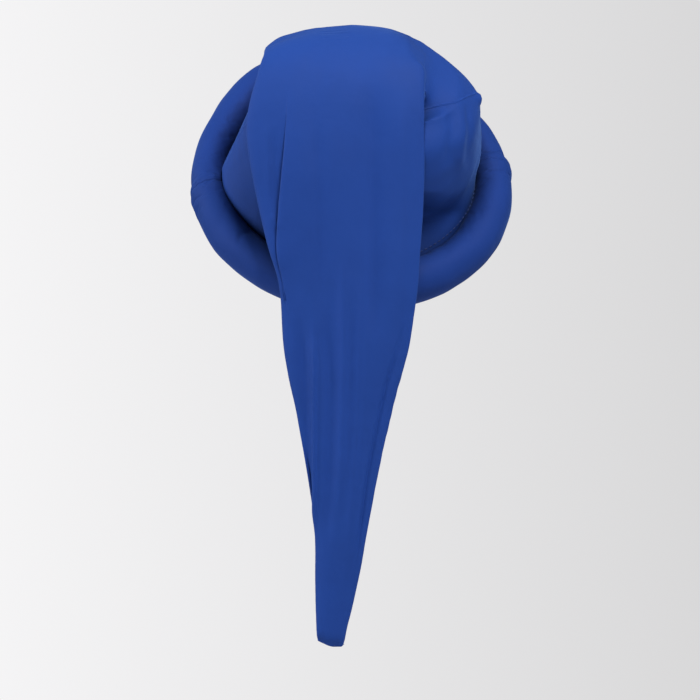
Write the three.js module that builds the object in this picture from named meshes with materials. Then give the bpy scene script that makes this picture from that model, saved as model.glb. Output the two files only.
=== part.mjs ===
// Elf hat: a stuffed roll round the head opening, and a long cloth cone that covers the head,
// folds over at the top and hangs down the back as a flat tail with a blunt tip.
// Millimetres and degrees, +Z up. The wearer faces -Y, so the tail hangs on the +Y side and the
// wearer's right is -X. The origin is the middle of the head opening.

import * as THREE from 'three';

const { degToRad, smoothstep } = THREE.MathUtils;

// Cloth and sewing
const CLOTH_THICKNESS = 1.2;
const SEAM_GAP = 0.3;
const SEAT_GAP = 1;
const CLOTH_COLOUR = 0x2c4a96;
const CLOTH_ROUGHNESS = 0.75;

// Stuffed roll: its ring, the way that it sits on the head, and the joins of its two lengths
const ROLL_RADIUS = 124.5;
const ROLL_TUBE = 23;
const ROLL_TILT = 50;
const ROLL_LEAN = 5.8;
const ROLL_BULGE = 21;
const ROLL_BULGE_AT = 113;
const ROLL_BULGE_SPREAD = 25;
const JOIN_RIGHT = 13;
const JOIN_LEFT = 194;
const JOIN_PINCH = 1.6;
const JOIN_PINCH_SPREAD = 4;
const ROLL_STEPS = 32;
const ROLL_SIDES = 14;

// Seat of the cone's rim on the middle of one of the roll's flats, counted in flats from the inside
// of the opening towards the crown
const SEAT_FLATS = 2.5;
const SEAT_TURN = (2 * Math.PI * SEAT_FLATS) / ROLL_SIDES;
const SEAT_REACH = ROLL_TUBE * Math.cos(Math.PI / ROLL_SIDES) + SEAT_GAP;
const SEAT_RADIUS = ROLL_RADIUS - SEAT_REACH * Math.cos(SEAT_TURN);
const SEAT_HEIGHT = SEAT_REACH * Math.sin(SEAT_TURN);

// Axis of the ring and the way from its middle to the forehead, each as [back, up]
const RING_AXIS = [Math.sin(degToRad(ROLL_TILT)), Math.cos(degToRad(ROLL_TILT))];
const RING_RISE = [-RING_AXIS[1], RING_AXIS[0]];

// Sections of the cone from the roll to the tip, each a closed loop in a plane across the cone.
// outer and inner are its ends on the front and back panels, as back and up in the middle plane.
// right and left are its reach to the wearer's sides, square is how boxy each side is, where 2 is
// an ellipse, with under for the lower right quarter, and drop is how far each side hangs below the
// middle. crease is how far left the front panel laps over itself, and step how deep. seamRight and
// seamLeft are where the panels meet, as angles from the wearer's right over the outer side. gather
// is the depth of the soft folds on the right, rim how closely the section follows the roll's
// bulge, and lean how far it leans with the roll. rows is how many grid rows there are up to the
// next section.
const COLUMNS = [
  'outerBack', 'outerUp', 'innerBack', 'innerUp', 'right', 'left', 'squareRight', 'squareLeft',
  'squareUnder', 'dropRight', 'dropLeft', 'crease', 'step', 'seamRight', 'seamLeft', 'gather',
  'rim', 'lean', 'rows',
];
const SEAT_SECTION = [
  SEAT_HEIGHT * RING_AXIS[0] + SEAT_RADIUS * RING_RISE[0],
  SEAT_HEIGHT * RING_AXIS[1] + SEAT_RADIUS * RING_RISE[1],
  SEAT_HEIGHT * RING_AXIS[0] - SEAT_RADIUS * RING_RISE[0],
  SEAT_HEIGHT * RING_AXIS[1] - SEAT_RADIUS * RING_RISE[1],
  SEAT_RADIUS, SEAT_RADIUS, 2, 2, 2, 0, 0, 56, 0, 28, 182, 0, 1, ROLL_LEAN, 2,
];
const SECTIONS = [
  SEAT_SECTION,
  [-54, 105, 90, -57, 113, 118, 2.0, 2.0, 2.1, 0, 0, 56, 0, 25, 183, 0.5, 0.7, 5.5, 2],
  [-47, 116, 96, -36, 113, 114, 2.0, 2.0, 2.3, 0, 0, 56, 0, 20, 184, 1.2, 0.3, 4.5, 2],
  [-32, 128, 98, -8, 113, 101, 2.0, 2.1, 2.6, 2, 1, 56, 0, 12, 186, 1.6, 0, 3.0, 2],
  [-10, 136.5, 97, 18, 111, 88, 1.9, 2.3, 2.9, 9, 4, 56, 0, 1, 188, 1.6, 0, 1.5, 2],
  [16, 140.3, 94.5, 40, 98, 82, 1.9, 2.8, 3.0, 13, 10, 56, 0, -14, 190, 0.8, 0, 0.5, 3],
  [46, 137.5, 96, 50, 74, 76, 2.6, 5.5, 3.2, 17, 15, 56, 0.5, -24, 190, 0, 0, 0, 3],
  [74, 127, 98, 53, 66, 76, 4.0, 6.0, 3.4, 12, 14, 56, 1.5, -28, 190, 0, 0, 0, 2],
  [97, 108, 101, 51, 64, 80, 5.0, 5.0, 3.6, 6, 8, 56, 3, -30, 191, 0, 0, 0, 2],
  [112, 83, 103, 43, 63, 88, 3.4, 3.0, 3.2, 5, 6, 56, 5, -32, 194, 0, 0, 0, 2],
  [119, 52, 104.5, 30, 63, 90.5, 2.8, 2.6, 2.8, 5, 5, 56, 6, -34, 198, 0, 0, 0, 2],
  [122, 12, 106, 6, 63.5, 86.7, 2.5, 2.6, 2.5, 5, 4, 57, 5, -35, 200, 0, 0, 0, 2],
  [122, -30, 106.5, -31, 62, 78, 2.5, 2.6, 2.5, 5, 4, 59, 5, -35, 200, 0, 0, 0, 2],
  [121.5, -66, 107, -66, 59.5, 69.3, 2.5, 2.6, 2.5, 4, 3, 60.5, 4, -35, 200, 0, 0, 0, 2],
  [121, -97, 107, -97, 57.5, 61, 2.5, 2.6, 2.5, 4, 3, 56, 1, -35, 200, 0, 0, 0, 2],
  [120.5, -142, 107, -142, 53, 58, 2.5, 2.6, 2.5, 3, 3, 50, 0, -35, 200, 0, 0, 0, 1],
  [120.5, -168, 107, -168, 47.5, 54.5, 2.5, 2.6, 2.5, 3, 3, 47, 0, -35, 200, 0, 0, 0, 1],
  [120.5, -193, 107, -193, 38.5, 49.8, 2.5, 2.6, 2.5, 3, 3, 43, 0, -35, 200, 0, 0, 0, 2],
  [120.5, -247, 107.5, -247, 25, 39.4, 2.5, 2.6, 2.5, 2, 2, 33, 0, -33, 200, 0, 0, 0, 2],
  [120, -302, 108, -302, 14.4, 31, 2.5, 2.6, 2.5, 2, 2, 26, 0, -30, 200, 0, 0, 0, 2],
  [119.5, -352, 108.5, -352, 5.5, 30, 2.5, 2.6, 2.5, 1, 1, 24, 0, -24, 198, 0, 0, 0, 2],
  [118.5, -393, 109.5, -393, -3.4, 29.4, 3.0, 3.0, 3.0, 0, 0, 24, 0, -14, 190, 0, 0, 0, 2],
  [116.8, -405, 111.6, -405, -6, 28.5, 5.0, 5.0, 5.0, 0, 0, 23, 0, -4, 184, 0, 0, 0, 1],
];
const COLUMNS_RIGHT = 14;
const COLUMNS_LEFT = 8;
const COLUMNS_BACK = 28;

// The lapped crease: how much of its step lifts the panel, how far the lift and the lap reach, and
// half the width of its turn
const LIFT_SHARE = 0.5;
const LIFT_REACH = 32;
const LAP_SHARE = 0.3;
const LAP_REACH = 7;
const LAP_TURN = 0.8;

// Soft folds of the crown below the right shoulder, as shares of the back panel's width, counted
// from its left seam to its right one
const GATHER_FROM = 0.55;
const GATHER_PITCH = 0.143;

// Soft folds down the outer face of the tail: the place of the top and bottom end as across and
// up, the width of the fold, and its height, which is negative where it is a hollow
const FOLD_COLUMNS = ['topAcross', 'topUp', 'bottomAcross', 'bottomUp', 'width', 'height'];
const FOLDS = [
  [-18, 60, -20, -120, 9, -2.2],
  [-45, 60, -44, -120, 10, 1.5],
  [32, -150, 31, -285, 5, 1.8],
  [45, -130, 38, -250, 6, -1.5],
  [-40, -130, -14, -240, 6, -2.0],
];
const FOLD_FADE = 50;

// Values of one table row, or a blend of rows, by the names of the columns
function named(columns, values) {
  return Object.fromEntries(columns.map((column, index) => [column, values[index]]));
}

// The table of sections as one smooth function of the row number
const sectionTable = new THREE.CubicInterpolant(
  Float64Array.from(SECTIONS.keys()),
  Float64Array.from(SECTIONS.flat()),
  COLUMNS.length,
);

function sectionAt(row) {
  return named(COLUMNS, sectionTable.evaluate(row));
}

// Height of the soft folds at a place on the tail's outer face
function foldRelief(across, up) {
  let height = 0;
  for (const values of FOLDS) {
    const fold = named(FOLD_COLUMNS, values);
    const share = (up - fold.topUp) / (fold.bottomUp - fold.topUp);
    const middle = THREE.MathUtils.lerp(fold.topAcross, fold.bottomAcross, share);
    const fade = smoothstep(up, fold.bottomUp - FOLD_FADE, fold.bottomUp)
      * (1 - smoothstep(up, fold.topUp, fold.topUp + FOLD_FADE));
    height += fold.height * fade * Math.exp(-(((across - middle) / fold.width) ** 2));
  }
  return height;
}

// Waves of the crown below the right shoulder
function gatherRelief(section, share) {
  const window = smoothstep(share, GATHER_FROM, GATHER_FROM + GATHER_PITCH)
    * (1 - smoothstep(share, 1 - GATHER_PITCH / 2, 1));
  return section.gather * window * Math.cos((2 * Math.PI * (1 - share)) / GATHER_PITCH);
}

// How far the roll swells out of its circle at a turn round the opening
function rollBulge(turn) {
  return ROLL_BULGE * Math.exp(-(((turn - ROLL_BULGE_AT) / ROLL_BULGE_SPREAD) ** 2));
}

// Angle at which a section's outer side crosses the lapped crease, or a place to the left of it
function creaseAngle(section, further) {
  const half = (section.left + section.right) / 2;
  const offset = (section.crease + further - (section.left - section.right) / 2) / half;
  const square = offset > 0 ? section.squareLeft : section.squareRight;
  return Math.acos(-Math.sign(offset) * Math.abs(offset) ** (square / 2));
}

// A stretch of one section's loop. lap is 1 on the panel that laps over the crease, -1 on the
// side that it lies on, and 0 on the back panel.
class SectionArc extends THREE.Curve {
  constructor(section, from, to, lap) {
    super();
    Object.assign(this, { section, from, to, lap });
  }

  getPoint(share, target = new THREE.Vector3()) {
    const { section, lap } = this;
    const angle = THREE.MathUtils.lerp(this.from, this.to, share);
    const cos = Math.cos(angle);
    const sin = Math.sin(angle);
    const squareRight = sin > 0 ? section.squareRight : section.squareUnder;
    const power = 2 / (cos > 0 ? squareRight : section.squareLeft);
    const half = (section.left + section.right) / 2;
    const turn = THREE.MathUtils.radToDeg(angle);
    const gather = lap === 0 ? gatherRelief(section, share) : 0;
    const swell = 1 + (gather + section.rim * rollBulge(turn)) / half;
    const sideways = Math.sign(cos) * Math.abs(cos) ** power * swell;
    const depthwise = Math.sign(sin) * Math.abs(sin) ** power * swell;
    const depth = Math.hypot(section.outerBack - section.innerBack, section.outerUp - section.innerUp);
    const back = (section.outerBack - section.innerBack) / depth;
    const up = (section.outerUp - section.innerUp) / depth;

    const drop = cos > 0 ? section.dropRight : section.dropLeft;
    let across = (section.left - section.right) / 2 - half * sideways;
    let out = (depth / 2) * depthwise - (drop * sideways ** 2 * (1 + sin)) / 2;
    if (lap !== 0 && sin > 0) {
      const away = Math.abs(across - section.crease);
      const lift = LIFT_SHARE * Math.exp(-((away / LIFT_REACH) ** 2));
      const width = Math.max(section.left - section.crease, 1);
      const sink = (1 - LIFT_SHARE) * Math.max(1 - away / width, 0) ** 2;
      out += section.step * (lap > 0 ? lift : -sink);
      out += foldRelief(across, (section.outerUp + section.innerUp) / 2) * sin;
      across += lap * LAP_SHARE * section.step * Math.exp(-((away / LAP_REACH) ** 2));
    }
    target.set(
      across,
      (section.outerBack + section.innerBack) / 2 + out * back,
      (section.outerUp + section.innerUp) / 2 + out * up,
    );
    return target.applyAxisAngle(new THREE.Vector3(0, 1, 0), degToRad(-section.lean));
  }
}

// One row of the cone's grid: the front panel from the right seam to the left one, then the back
// panel from the left seam round to the right one again, which is left out because it closes
function coneRow(section) {
  const seamRight = degToRad(section.seamRight);
  const seamLeft = degToRad(section.seamLeft);
  const lapping = new SectionArc(section, seamRight, creaseAngle(section, -LAP_TURN), 1)
    .getSpacedPoints(COLUMNS_RIGHT);
  const under = new SectionArc(section, creaseAngle(section, LAP_TURN), seamLeft, -1)
    .getSpacedPoints(COLUMNS_LEFT);
  const turned = lapping[COLUMNS_RIGHT].clone().lerp(under[0], 0.5);
  const back = new SectionArc(section, seamLeft, seamRight + 2 * Math.PI, 0)
    .getSpacedPoints(COLUMNS_BACK);
  return [...lapping, turned, ...under, ...back.slice(1, COLUMNS_BACK)];
}

const FRONT_COLUMNS = COLUMNS_RIGHT + COLUMNS_LEFT + 3;
const ROUND_COLUMNS = FRONT_COLUMNS + COLUMNS_BACK - 1;

// The inner side of the cloth, one thickness in from a grid that closes round the cone
function clothInside(grid) {
  const last = grid.length - 1;
  return grid.map((row, i) => row.map((point, j) => {
    const next = row[(j + 1) % ROUND_COLUMNS];
    const before = row[(j + ROUND_COLUMNS - 1) % ROUND_COLUMNS];
    const along = grid[Math.min(i + 1, last)][j].clone().sub(grid[Math.max(i - 1, 0)][j]);
    const outward = next.clone().sub(before).cross(along).normalize();
    return point.clone().addScaledVector(outward, -CLOTH_THICKNESS);
  }));
}

// The columns of one panel, with its two seam edges drawn in by half the gap
function panelColumns(grid, first, count) {
  return grid.map((row) => {
    const points = Array.from({ length: count }, (_, j) => row[(first + j) % ROUND_COLUMNS].clone());
    const pull = (edge, neighbour) => {
      const inward = points[neighbour].clone().sub(points[edge]).setLength(SEAM_GAP / 2);
      points[edge].add(inward);
    };
    pull(0, 1);
    pull(count - 1, count - 2);
    return points;
  });
}

// Indexed geometry of vertices and quads, each quad split in two
function quadGeometry(points, quads) {
  const geometry = new THREE.BufferGeometry().setFromPoints(points);
  geometry.setIndex(quads.flatMap(([a, b, c, d]) => [a, b, c, a, c, d]));
  geometry.computeVertexNormals();
  return geometry;
}

// A cloth panel between its outer and inner grids, with its four edges closed
function panelGeometry(outer, inner) {
  const rows = outer.length;
  const columns = outer[0].length;
  const outerAt = (i, j) => i * columns + j;
  const innerAt = (i, j) => rows * columns + i * columns + j;
  const quads = [];
  for (let i = 0; i < rows - 1; i += 1) {
    for (let j = 0; j < columns - 1; j += 1) {
      quads.push([outerAt(i, j), outerAt(i, j + 1), outerAt(i + 1, j + 1), outerAt(i + 1, j)]);
      quads.push([innerAt(i, j), innerAt(i + 1, j), innerAt(i + 1, j + 1), innerAt(i, j + 1)]);
    }
    const end = columns - 1;
    quads.push([outerAt(i, 0), outerAt(i + 1, 0), innerAt(i + 1, 0), innerAt(i, 0)]);
    quads.push([outerAt(i, end), innerAt(i, end), innerAt(i + 1, end), outerAt(i + 1, end)]);
  }
  for (let j = 0; j < columns - 1; j += 1) {
    const end = rows - 1;
    quads.push([outerAt(0, j), innerAt(0, j), innerAt(0, j + 1), outerAt(0, j + 1)]);
    quads.push([outerAt(end, j), outerAt(end, j + 1), innerAt(end, j + 1), innerAt(end, j)]);
  }
  return quadGeometry([...outer.flat(), ...inner.flat()], quads);
}

// Radius of the roll's section, drawn in at the two joins
function rollTube(turn) {
  const pinch = [JOIN_RIGHT, JOIN_LEFT].map((join) => {
    const away = Math.abs(((turn - join + 540) % 360) - 180);
    return Math.exp(-((away / JOIN_PINCH_SPREAD) ** 2));
  });
  return ROLL_TUBE - JOIN_PINCH * (pinch[0] + pinch[1]);
}

// A length of the roll between two turns round the opening, counted from the wearer's right
function rollGeometry(from, to) {
  const edge = THREE.MathUtils.radToDeg(SEAM_GAP / 2 / ROLL_RADIUS);
  const points = [];
  const quads = [];
  const at = (i, j) => i * ROLL_SIDES + (j % ROLL_SIDES);
  const place = (turn, radius, height) => {
    const across = -radius * Math.cos(degToRad(turn));
    const rise = radius * Math.sin(degToRad(turn));
    return new THREE.Vector3(
      across,
      rise * RING_RISE[0] + height * RING_AXIS[0],
      rise * RING_RISE[1] + height * RING_AXIS[1],
    ).applyAxisAngle(new THREE.Vector3(0, 1, 0), degToRad(-ROLL_LEAN));
  };
  for (let i = 0; i <= ROLL_STEPS; i += 1) {
    const turn = THREE.MathUtils.lerp(from + edge, to - edge, i / ROLL_STEPS);
    const tube = rollTube(turn);
    const ring = ROLL_RADIUS + rollBulge(turn);
    for (let j = 0; j < ROLL_SIDES; j += 1) {
      const side = (2 * Math.PI * j) / ROLL_SIDES;
      points.push(place(turn, ring - tube * Math.cos(side), tube * Math.sin(side)));
      if (i < ROLL_STEPS) quads.push([at(i, j), at(i, j + 1), at(i + 1, j + 1), at(i + 1, j)]);
    }
  }
  const caps = [];
  for (const [row, turn] of [[0, from + edge], [ROLL_STEPS, to - edge]]) {
    const centre = points.push(place(turn, ROLL_RADIUS + rollBulge(turn), 0)) - 1;
    for (let j = 0; j < ROLL_SIDES; j += 1) {
      caps.push(...(row === 0 ? [centre, at(row, j + 1), at(row, j)] : [centre, at(row, j), at(row, j + 1)]));
    }
  }
  const geometry = quadGeometry(points, quads);
  geometry.setIndex([...geometry.index.array, ...caps]);
  geometry.computeVertexNormals();
  return geometry;
}

function clothMesh(name, geometry) {
  const material = new THREE.MeshStandardMaterial({
    color: CLOTH_COLOUR,
    roughness: CLOTH_ROUGHNESS,
    metalness: 0,
  });
  const mesh = new THREE.Mesh(geometry, material);
  mesh.name = name;
  return mesh;
}

// Row numbers in the table at which the grid has a row
function gridRows() {
  const rows = SECTIONS.slice(0, -1).flatMap((values, index) => {
    const count = named(COLUMNS, values).rows;
    return Array.from({ length: count }, (_, step) => index + step / count);
  });
  return [...rows, SECTIONS.length - 1];
}

const cone = gridRows().map((row) => coneRow(sectionAt(row)));
const coneInside = clothInside(cone);

function panelMesh(name, first, count) {
  const outer = panelColumns(cone, first, count);
  const inner = panelColumns(coneInside, first, count);
  return clothMesh(name, panelGeometry(outer, inner));
}

const hat = new THREE.Group();
hat.add(
  clothMesh('roll_front', rollGeometry(JOIN_RIGHT, JOIN_LEFT)),
  clothMesh('roll_back', rollGeometry(JOIN_LEFT, JOIN_RIGHT + 360)),
  panelMesh('front_panel', 0, FRONT_COLUMNS),
  panelMesh('back_panel', FRONT_COLUMNS - 1, COLUMNS_BACK + 1),
);

export default hat;
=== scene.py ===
"""Elf hat: a stuffed roll round the head opening and a long cloth cone with a hanging tail."""

import math

import bpy
import numpy as np
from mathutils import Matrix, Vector


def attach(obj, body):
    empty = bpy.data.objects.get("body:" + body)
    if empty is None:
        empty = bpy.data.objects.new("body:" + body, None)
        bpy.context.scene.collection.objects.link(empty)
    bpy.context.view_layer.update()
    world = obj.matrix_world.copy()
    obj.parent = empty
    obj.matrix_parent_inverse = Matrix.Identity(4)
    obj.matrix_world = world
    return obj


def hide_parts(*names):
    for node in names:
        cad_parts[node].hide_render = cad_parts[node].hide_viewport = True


bl_info = {
    "name": "Elf Hat",
    "version": (1, 0, 0),
    "blender": (4, 5, 0),
    "location": "3D View > Sidebar > Elf Hat",
    "description": "Builds a soft elf hat with a stuffed roll and a hanging tail",
    "category": "Add Mesh",
}

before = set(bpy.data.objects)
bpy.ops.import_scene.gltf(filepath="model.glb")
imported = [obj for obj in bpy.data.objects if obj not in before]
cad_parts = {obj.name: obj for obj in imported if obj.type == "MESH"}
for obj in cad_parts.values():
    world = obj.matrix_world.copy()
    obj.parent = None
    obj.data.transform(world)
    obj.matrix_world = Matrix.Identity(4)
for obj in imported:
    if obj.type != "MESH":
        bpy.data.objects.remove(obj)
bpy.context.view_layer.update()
BODY = "root"
MM = 0.001

# Ring of the roll: millimetres, and degrees round the opening from the wearer's right
ROLL_BULGE = 21
ROLL_BULGE_AT = 113
ROLL_BULGE_SPREAD = 25
JOIN_RIGHT = 13
JOIN_LEFT = 194
# Places where the roll is stuffed more or less: the turn, its spread in degrees and the rise
ROLL_SWELLS = ((136, 12, 2.4), (184, 22, -2.6), (241, 14, 0.8), (316, 10, 0.4))
ROLL_ROWS = 260
ROLL_SIDES = 72
ROLL_CLOSER = 0.8
CAP_RINGS = (0.66, 0.33, 0.04)

# The roll's unevenness: the height, wavelength and seed of each kind of lump, how much slimmer it
# is before it is stuffed, and how far from a join this is in full
ROLL_LUMPS = ((0.6, 95, 11), (0.35, 30, 13))
ROLL_SLIMMER = 2.5
LUMPS_FROM_JOIN = 12

# How much flatter the roll is on its inside, where the crown is sewn to it
ROLL_FLAT = 0.26

# The roll's stuffing, as a cloth simulation: its steps, the cloth's values and the furthest that
# the cloth moves in millimetres
STUFF_STEPS = 12
STUFF_CLOTH = {
    "quality": 4,
    "mass": 0.005,
    "tension_stiffness": 15,
    "compression_stiffness": 15,
    "shear_stiffness": 5,
    "bending_stiffness": 0.5,
    "use_pressure": True,
    "uniform_pressure_force": 40,
    "shrink_min": -0.013,
}
STUFF_REACH = 2.5

# Where the roll is held while it is stuffed: rows from each join and angles from the crown's seam
HELD_ROWS = (3, 14)
HELD_ANGLES = (0.3, 0.7)

# Groove and swelling beside each sewn join of the roll, in millimetres
FAINT_JOIN = (0.6, 0.2)
JOIN_ABOVE = (1.3, 0.5)
JOIN_BELOW = (1.3, 1.2)
GROOVE_REACH = 1.8
JOIN_SWELL_AT = 10
JOIN_SWELL_SPREAD = 9

# Puckers at a join: their height as a share of the groove, their reach, how many go round the
# roll, and how far and how often they drift from even places
JOIN_PUCKER = 0.3
JOIN_PUCKER_REACH = 6
JOIN_PUCKERS = 13
JOIN_DRIFT = 2
JOIN_DRIFTS = 3

# Where the cone's rim is sewn to the roll: the turn round the roll's section, how deep the rim
# sits in it, and the first section's values from square_right to rim
SEAT_TURN = math.radians(4)
SEAT_SINK = 3.5
SEAT_VALUES = (2, 2, 2, 0, 0, 56, 0, 28, 182, 1)

# Sections of the cone from the roll to the tip, in millimetres and degrees, as closed loops across
# it. outer and inner are a loop's ends on the front and back panels, as back and up in the middle
# plane. right and left are its reach to the sides, square is how boxy each side is, where 2 is an
# ellipse, and drop is how far each side hangs below the middle. crease is how far left the front
# panel laps over itself and step how deep. seam_right and seam_left are where the panels meet, rim
# is how closely the loop follows the roll's bulge and lean how far it leans with the roll.
COLUMNS = (
    "outer_back", "outer_up", "inner_back", "inner_up", "right", "left",
    "square_right", "square_left", "square_under", "drop_right", "drop_left",
    "crease", "step", "seam_right", "seam_left", "rim", "lean",
)
SECTIONS = (
    (-54, 105, 74, -62, 112, 126, 2.0, 2.0, 1.7, 0, 0, 56, 0, 25, 194, 0.7, 5.5),
    (-47, 116, 76, -43, 114, 122, 2.0, 2.0, 1.9, 0, 0, 56, 0, 20, 196, 0.3, 4.5),
    (-32, 128, 85, -17, 113, 106, 2.0, 2.1, 2.4, 2, 1, 56, 0, 12, 196, 0, 3.0),
    (-10, 136.5, 97, 18, 111, 88, 1.9, 2.3, 2.9, 9, 4, 56, 0, 3, 195, 0, 1.5),
    (16, 138.5, 94.5, 40, 98, 82, 1.9, 3.2, 3.0, 13, 12, 56, 0, -10, 192, 0, 0.5),
    (46, 137, 96, 50, 74, 76, 2.6, 12, 3.2, 11, 27, 56, 0, -54, 190, 0, 0),
    (74, 127, 98, 53, 66, 76, 4.0, 12, 3.4, 12, 16, 56, 0, -44, 190, 0, 0),
    (97, 108, 101, 51, 64, 80, 5.0, 6.0, 3.6, 6, 8, 55.5, 0, -31, 191, 0, 0),
    (112, 83, 103, 43, 63, 88, 3.4, 3.0, 3.2, 5, 6, 55, 0, -32, 194, 0, 0),
    (119, 52, 104.5, 30, 63, 90.5, 2.8, 2.6, 2.8, 5, 5, 55, 1.2, -34, 198, 0, 0),
    (122, 12, 106, 6, 63.5, 86.7, 2.5, 2.6, 2.5, 5, 4, 56.5, 4.2, -35, 200, 0, 0),
    (122, -30, 106.5, -31, 62, 78, 2.5, 2.6, 2.5, 5, 4, 60, 5, -35, 200, 0, 0),
    (121.5, -66, 107, -66, 59.5, 69.3, 2.5, 2.6, 2.5, 4, 3, 61.5, 4, -35, 200, 0, 0),
    (121, -97, 107, -97, 57.5, 61, 2.5, 2.6, 2.5, 4, 3, 57, 1, -35, 200, 0, 0),
    (120.5, -142, 107, -142, 50.8, 58, 2.5, 2.6, 2.5, 3, 3, 50, 0, -35, 200, 0, 0),
    (120.5, -168, 107, -168, 44.2, 54.5, 2.5, 2.6, 2.5, 3, 3, 47, 0, -35, 200, 0, 0),
    (120.5, -193, 107, -193, 37, 49.8, 2.5, 2.6, 2.5, 3, 3, 43, 0, -35, 200, 0, 0),
    (120.5, -247, 107.5, -247, 25, 39.4, 2.5, 2.6, 2.5, 2, 2, 33, 0, -33, 200, 0, 0),
    (120, -302, 108, -302, 14.4, 31, 2.5, 2.6, 2.5, 2, 2, 26, 0, -30, 200, 0, 0),
    (119.5, -352, 108.5, -352, 5.5, 30, 2.5, 2.6, 2.5, 1, 1, 24, 0, -24, 198, 0, 0),
    (118.5, -393, 109.5, -393, -3.4, 29.4, 3.0, 3.0, 3.0, 0, 0, 24, 0, -14, 190, 0, 0),
    (113.6, -405, 111.6, -405, -6, 28.5, 5.0, 5.0, 5.0, 0, 0, 23, 0, -4, 184, 0, 0),
)
CONE_ROWS = 345
COLUMNS_LAPPING = 100
COLUMNS_TURN = 8
COLUMNS_UNDER = 28
COLUMNS_BACK = 130
FINE_STEPS = 400
FINE_ROWS = 3000
SHARP_ANGLE = math.radians(60)

# Columns stand closer beside the seams and along the flap's right edge, in millimetres
CLOSER_TIMES = 4
CLOSER_SPREAD = 6

# The flap's right edge, as how far across it is at two heights, and its raised lip: the rise, its
# reach, half the width of the edge, and the heights at which it starts, is full, ends and is gone
FLAP_EDGE = ((40, -63.2), (112, -64.5))
FLAP_LIP = 0.6
FLAP_LIP_REACH = 4
FLAP_TURN = 0.7
FLAP_LIP_HEIGHTS = (20, 60, 96, 118)

# The crown's right shoulder, which lies nearly flush with the flap's edge: how far it rises, the
# heights at which the rise starts, is full, ends and is gone, how far across it reaches, how wide
# it fades out to the side, how far back it starts and is full, and the sections at which it ends
SHOULDER_RISE = 17
SHOULDER_HEIGHTS = (-30, -12, 72, 132)
SHOULDER_ACROSS = (-62, -54)
SHOULDER_FADE = 40
SHOULDER_BACK = (15, 45)
SHOULDER_ROWS = (7.0, 7.6)

# Where the gathered cloth between the shoulder and the flap is smoothed: sections, places across
# and heights, and how often and how much
RELAX_ROWS = (5.2, 5.8, 7.4, 8.0)
RELAX_ACROSS = (-98, -84, -60, -52)
RELAX_UP = (30, 50)
RELAX_TURNS = 600
RELAX_SHARE = 0.5

# The shoulder's top falls straight to the side: its slope across, how high it is at the middle, how
# softly it bends, and how far across it starts
SHOULDER_SLOPE = 0.959
SHOULDER_TOP = 190
SHOULDER_SOFTNESS = 2.5
SHOULDER_STARTS = (-69, -62)

# The crown's left side runs straight from under the flap to a corner beside the roll
LEFT_CORNER = (115, 11)
LEFT_SLOPE = 0.46
LEFT_SOFTNESS = 3
LEFT_ROWS = (0.0, 0.35, 4.6, 5.8)

# Sewn edges: a ridge on the crown, a groove with a rolled lip beside it on the tail, and the puckers
# across both, with the sections between which each starts or ends
RIDGE_ROWS = (5.5, 6.2)
GATHER_ROWS = (4.9, 5.5)
TAIL_ROWS = (7.5, 8.5)
SEAM_RIDGE = 0.6
SEAM_DEPTH = 0.45
SEAM_WIDTH = 1.3
SEAM_LIP_AT = 3.2
SEAM_LIP_WIDTH = 1.7
SEAM_LIP_SHARE = 0.45
PUCKER_HEIGHT = 0.35
PUCKER_PITCH = 7.5
PUCKER_REACH = 6
PUCKER_TAIL = 0.12
PUCKER_DRIFT = 1.7
PUCKER_DRIFT_REACH = 11

# The tip's sewn end: how much higher each corner is, and over which places across and up
TIP_CORNERS = ((6, 14, 33), (4.5, 9, 2))
TIP_UP = (-405, -372)

# The lapped crease: how much of its step lifts the panel, how far the lift and the lap reach, half
# the width of its turn, and how far the turned edge rounds out
LIFT_SHARE = 0.5
LIFT_REACH = 32
LAP_SHARE = 0.3
LAP_REACH = 7
LAP_TURN = 0.8
LAP_ROUND = 0.45

# Folds in the cloth as seen from behind: the panel, the width and the height of the fold, negative
# for a hollow, and its path as places across and up, in millimetres
FOLDS = (
    ("front", 9, -3.2, ((-18, 90), (-18, 20), (-20, -150))),
    ("front", 9, 2.4, ((-44, 90), (-45, 20), (-44, -150))),
    ("front", 1.9, 3.0, ((32, -120), (32, -200), (31, -320))),
    ("front", 5, -3.0, ((44, -110), (39, -190), (35.5, -300))),
    ("front", 1.4, -1.6, ((-52, -110), (-30, -180), (-14, -260), (-2, -350))),
    ("front", 4, 1.2, ((-52, -150), (-38, -180), (-22, -260), (-8, -340))),
    ("front", 4.5, 2.3, ((8, -60), (6, -150), (10, -300))),
    ("front", 4.5, -2.4, ((20, -100), (18, -180), (20, -330))),
    ("front", 4.5, 2.0, ((-8, -80), (-6, -180), (2, -340))),
    ("front", 6, -1.4, ((30, 60), (28, -20), (26, -120))),
    ("front", 3, -0.8, ((66, 45), (66, 10), (64, -40))),
    ("front", 3, 0.7, ((73, 50), (72, 15), (69, -20))),
    ("front", 1.6, 0.8, ((70, -33), (65, -40), (60, -46))),
    ("back", 4, -1.8, ((-84, 66), (-88, 40), (-82, 5))),
    ("back", 4, 1.7, ((-93, 72), (-97, 40), (-94, 0))),
    ("back", 3.5, -1.6, ((-101, 70), (-104, 40), (-101, 5))),
    ("back", 1.6, 0.9, ((93, 54), (94, 36), (93, 18))),
    ("back", 1.6, 0.9, ((98, 46), (99, 30), (98, 12))),
    ("back", 1.6, 0.9, ((103, 38), (104, 24), (103, 8))),
)
FOLD_FADE = 0.25

# How far a place has to face back for folds and the flap's lip to show
FACING = (0.1, 0.5)

# Unevenness runs further along the way the cloth hangs: the height, wavelength and seed of each
# kind of lump, and the rows at the rim over which all relief starts
LUMP_STRETCH = (1, 1, 0.35)
CONE_LUMPS = ((0.5, 42, 3), (0.16, 15, 5))
RIM_ROWS = 12

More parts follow.
